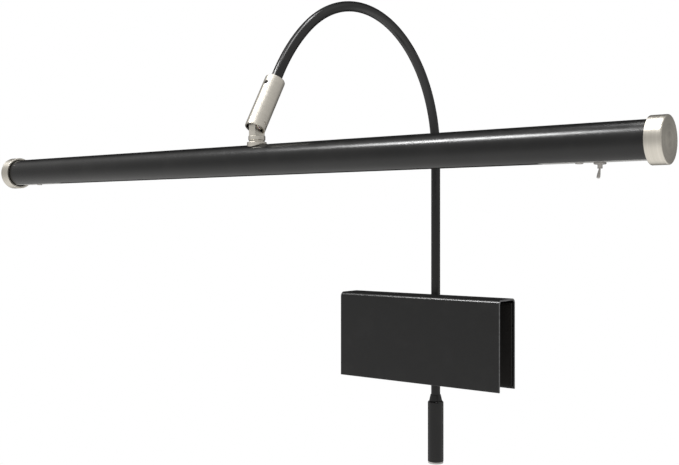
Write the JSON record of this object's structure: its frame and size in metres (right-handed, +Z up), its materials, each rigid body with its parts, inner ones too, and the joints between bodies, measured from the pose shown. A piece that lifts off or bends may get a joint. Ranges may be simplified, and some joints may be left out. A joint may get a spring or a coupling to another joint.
{
  "type": "picture light",
  "caption": "Hook-over picture light: slotted tube shade with nickel end caps on a curved arm that slides and swings behind a felt-lined saddle, with a tilting knuckle and a toggle switch.",
  "frame": {"origin": "centre of the saddle's seat, the underside of its web, which rests on the top edge of the frame", "axes": "+X along the shade to the right seen from the front, +Y back from the viewer, +Z up"},
  "size_m": [0.5588, 0.2646, 0.3806],
  "materials": {
    "black_coat": "satin",
    "felt": "matt wool felt",
    "nickel": "satin nickel plate",
    "dark_steel": "black oxide",
    "aluminium": "mill",
    "grey_plate": "matt",
    "white_nylon": "matt",
    "opal": "satin opal",
    "board_white": "solder mask",
    "board_green": "solder mask",
    "black_plastic": "matt",
    "ferrite": "matt",
    "brass": "turned",
    "black_jacket": "matt",
    "white_jacket": "matt"
  },
  "bodies": {
    "saddle": {"saddle_channel": "black_coat", "front_felt": "felt", "back_felt": "felt", "guide_tube": "black_coat"},
    "liner": {"guide_liner": "white_nylon"},
    "lock_pad": {"lock_pad": "white_nylon"},
    "lock_knob": {"lock_screw": "dark_steel", "lock_knob": "black_plastic"},
    "arm": {"arm_tube": "black_coat", "arm_cable": "black_jacket", "inlet_housing": "black_coat", "inlet_cone": "black_coat", "inlet_socket": "grey_plate", "inlet_contact": "brass", "knuckle_sleeve": "nickel", "sleeve_set_screw": "dark_steel", "pivot_pin": "nickel", "friction_washer_left": "white_nylon", "friction_washer_right": "white_nylon"},
    "neck": {"neck_tongue": "nickel", "swivel_washer": "nickel", "neck_wave_washer": "dark_steel", "neck_nut": "brass", "neck_lead": "white_jacket"},
    "shade": {"neck_collar": "nickel", "neck_backing": "dark_steel", "shade_tube": "black_coat", "end_cap_left": "nickel", "end_cap_right": "nickel", "cap_plug_left": "white_nylon", "cap_plug_right": "white_nylon", "blank_plate": "grey_plate", "blank_plate_clamp": "aluminium", "blank_plate_screw": "nickel", "switch_plate": "grey_plate", "switch_plate_clamp": "aluminium", "switch_plate_screw": "nickel", "switch_body": "black_plastic", "switch_bush": "nickel", "switch_washer": "nickel", "switch_nut": "nickel", "led_carrier": "aluminium", "led_board": "board_white", "diffuser": "opal", "driver_insulator": "white_nylon", "driver_board": "board_green", "driver_inductor": "ferrite", "driver_capacitor": "aluminium", "driver_chip": "black_plastic", "driver_lead": "white_jacket", "switch_lead": "white_jacket", "board_lead": "white_jacket"},
    "toggle": {"toggle_lever": "nickel"}
  },
  "joints": [
    {"name": "arm_swing", "type": "hinge", "parent": "saddle", "child": "liner", "pos_m": [0, 0.019, -0.036], "axis": [0, 0, 1], "range_deg": [-90, 90]},
    {"name": "arm_height", "type": "slide", "parent": "liner", "child": "arm", "axis": [0, 0, 1], "range_m": [-0.12, 0.015]},
    {"name": "shade_tilt", "type": "hinge", "parent": "arm", "child": "neck", "pos_m": [0, -0.21215, 0.13029], "axis": [1, 0, 0], "range_deg": [-30, 50]},
    {"name": "shade_swivel", "type": "hinge", "parent": "neck", "child": "shade", "pos_m": [0, -0.21215, 0.10519], "axis": [0, 0, 1], "range_deg": [-45, 45]},
    {"name": "toggle_throw", "type": "hinge", "parent": "shade", "child": "toggle", "pos_m": [0.2429, -0.21215, 0.09269], "axis": [0, -1, 0], "range_deg": [0, 22]},
    {"name": "lock_travel", "type": "slide", "parent": "saddle", "child": "lock_pad", "axis": [0, 1, 0], "range_m": [0, 0.0008]},
    {"name": "lock_turn", "type": "hinge", "parent": "lock_pad", "child": "lock_knob", "pos_m": [0, 0.035, -0.036], "axis": [0, 1, 0], "range_deg": [0, 360]}
  ],
  "couplings": [
    {"joint": "lock_turn", "follows": "lock_travel", "rad_per_m": 7854}
  ]
}
